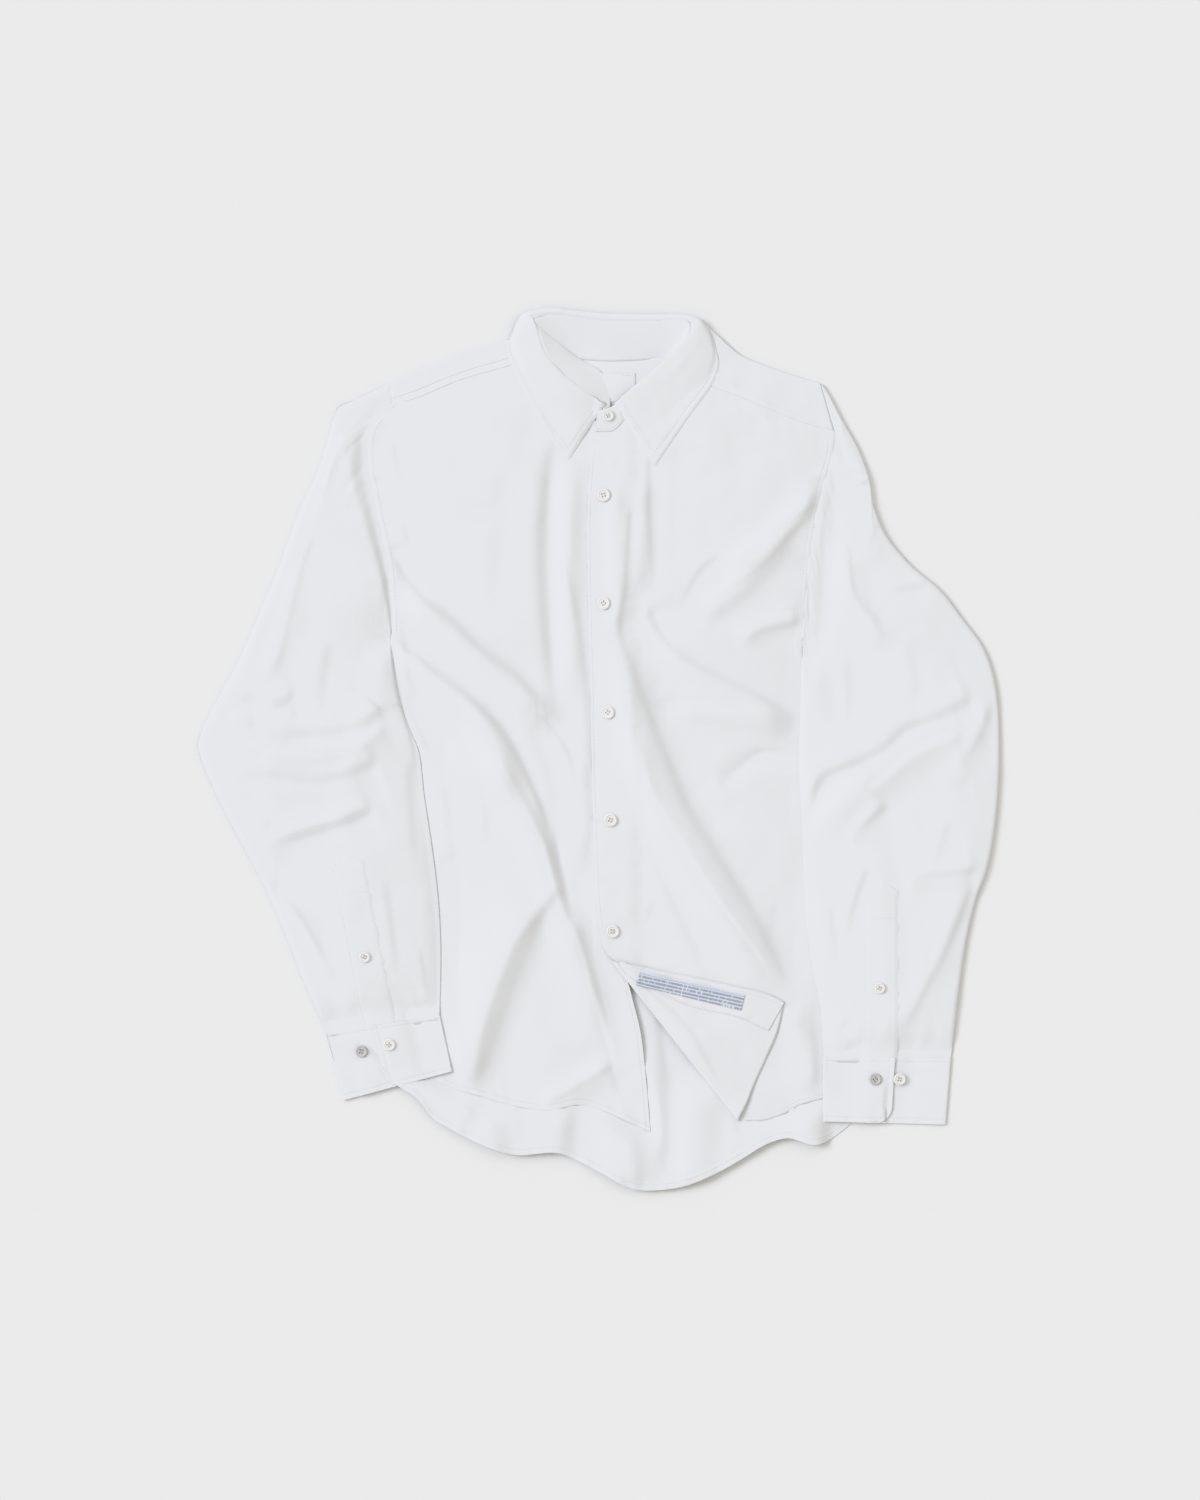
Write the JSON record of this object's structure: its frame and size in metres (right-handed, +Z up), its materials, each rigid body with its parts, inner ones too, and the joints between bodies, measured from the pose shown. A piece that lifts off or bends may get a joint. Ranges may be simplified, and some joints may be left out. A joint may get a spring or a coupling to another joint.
{
  "type": "long-sleeved button-up shirt laid flat",
  "caption": "Crumpled long-sleeved button-up shirt laid flat on its back, buttoned, with one lower front corner turned back.",
  "frame": {"origin": "on the surface under the middle of the laid-out shirt", "axes": "+Z up from the surface; +Y from the hem to the collar; +X towards the wearer's left sleeve, which is on the right seen from above"},
  "size_m": [0.7191, 0.7922, 0.0255],
  "materials": {
    "shirting": "matte, fine even cotton weave",
    "stiff_shirting": "matte, interlined cotton, edge-stitched",
    "neck_tape": "satin tape, bare",
    "care_tape": "matte tape",
    "pearl_button": "glossy, pearly",
    "grey_button": "glossy"
  },
  "bodies": {
    "root": {"back": "shirting", "yoke": "shirting", "front_right": "shirting", "front_left": "shirting", "front_facing": "shirting", "sleeve_right": "shirting", "sleeve_left": "shirting", "sleeve_placket_right": "shirting", "sleeve_placket_left": "shirting", "cuff_right": "stiff_shirting", "cuff_left": "stiff_shirting", "collar_stand": "stiff_shirting", "collar_leaf": "stiff_shirting", "neck_label": "neck_tape", "care_label": "care_tape", "collar_button": "pearl_button", "front_button_1": "pearl_button", "front_button_2": "pearl_button", "front_button_3": "pearl_button", "front_button_4": "pearl_button", "front_button_5": "pearl_button", "cuff_button_right_1": "pearl_button", "cuff_button_right_2": "grey_button", "cuff_button_left_1": "grey_button", "cuff_button_left_2": "pearl_button", "placket_button_right": "pearl_button", "placket_button_left": "pearl_button"}
  },
  "joints": []
}
